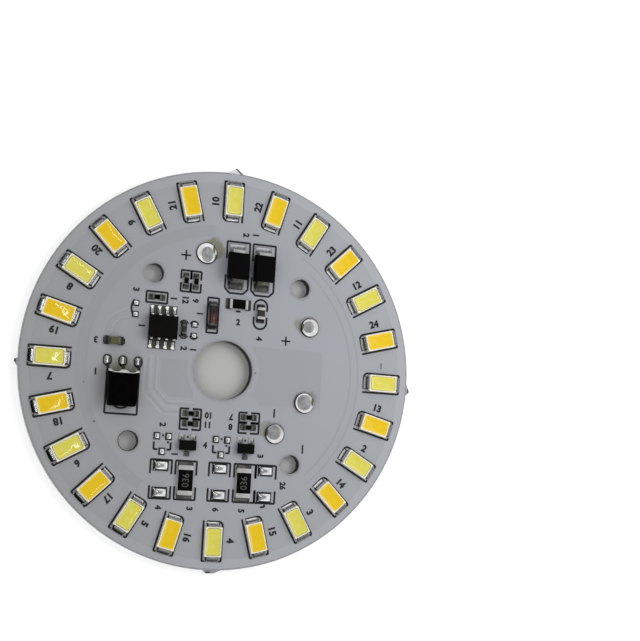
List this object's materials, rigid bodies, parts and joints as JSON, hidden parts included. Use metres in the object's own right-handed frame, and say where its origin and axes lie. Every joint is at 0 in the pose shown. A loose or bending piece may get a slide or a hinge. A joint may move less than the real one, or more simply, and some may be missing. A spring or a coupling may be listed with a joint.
{
  "type": "round led module",
  "caption": "Round white light board with a ring of surface lamps in two colours, driver parts, wire solder domes, a centre hole and screw holes.",
  "frame": {"origin": "centre of the middle hole at the board's back face", "axes": "+Z out of the lamp side along the middle hole's axis, +X towards the first lamp, +Y towards the wire dome above the two rectifiers"},
  "size_m": [0.0688, 0.0691, 0.0046],
  "materials": {
    "aluminium": "satin",
    "resin": "matte",
    "copper": "satin",
    "white_mask": "semi-gloss",
    "solder": "satin",
    "lamp_plastic": "matte",
    "cool_phosphor": "satin",
    "warm_phosphor": "satin",
    "lead_metal": "satin",
    "black_moulding": "matte",
    "receiver_resin": "gloss",
    "red_glass": "clear",
    "silicon": "satin",
    "resistor_glaze": "satin",
    "capacitor_ceramic": "matte"
  },
  "bodies": {
    "root": {"aluminium_core": "aluminium", "insulating_resin": "resin", "copper_pour": "copper", "white_mask": "white_mask", "tinned_pads": "solder", "solder_fillets": "solder", "wire_solder_domes": "solder", "spare_pad_solder": "solder", "lamp_housing_01": "lamp_plastic", "lamp_housing_02": "lamp_plastic", "lamp_housing_03": "lamp_plastic", "lamp_housing_04": "lamp_plastic", "lamp_housing_05": "lamp_plastic", "lamp_housing_06": "lamp_plastic", "lamp_housing_07": "lamp_plastic", "lamp_housing_08": "lamp_plastic", "lamp_housing_09": "lamp_plastic", "lamp_housing_10": "lamp_plastic", "lamp_housing_11": "lamp_plastic", "lamp_housing_12": "lamp_plastic", "lamp_housing_13": "lamp_plastic", "lamp_housing_14": "lamp_plastic", "lamp_housing_15": "lamp_plastic", "lamp_housing_16": "lamp_plastic", "lamp_housing_17": "lamp_plastic", "lamp_housing_18": "lamp_plastic", "lamp_housing_19": "lamp_plastic", "lamp_housing_20": "lamp_plastic", "lamp_housing_21": "lamp_plastic", "lamp_housing_22": "lamp_plastic", "lamp_housing_23": "lamp_plastic", "lamp_housing_24": "lamp_plastic", "cool_phosphor": "cool_phosphor", "warm_phosphor": "warm_phosphor", "lamp_terminals": "lead_metal", "controller_body": "black_moulding", "controller_leads": "lead_metal", "receiver_body": "receiver_resin", "receiver_leads": "lead_metal", "rectifier_body_left": "black_moulding", "rectifier_body_right": "black_moulding", "rectifier_leads": "lead_metal", "zener_glass": "red_glass", "zener_studs": "lead_metal", "zener_chip": "silicon", "transistor_body_left": "black_moulding", "transistor_body_right": "black_moulding", "transistor_leads": "lead_metal", "sense_resistor_left": "resistor_glaze", "sense_resistor_right": "resistor_glaze", "dropper_resistor": "resistor_glaze", "single_resistor": "resistor_glaze", "upper_resistor_pair": "resistor_glaze", "left_resistor_pair": "resistor_glaze", "right_resistor_pair": "resistor_glaze", "resistor_ends": "lead_metal", "oval_capacitor": "capacitor_ceramic", "receiver_capacitor": "capacitor_ceramic", "controller_capacitor": "capacitor_ceramic", "capacitor_ends": "lead_metal"}
  },
  "joints": []
}
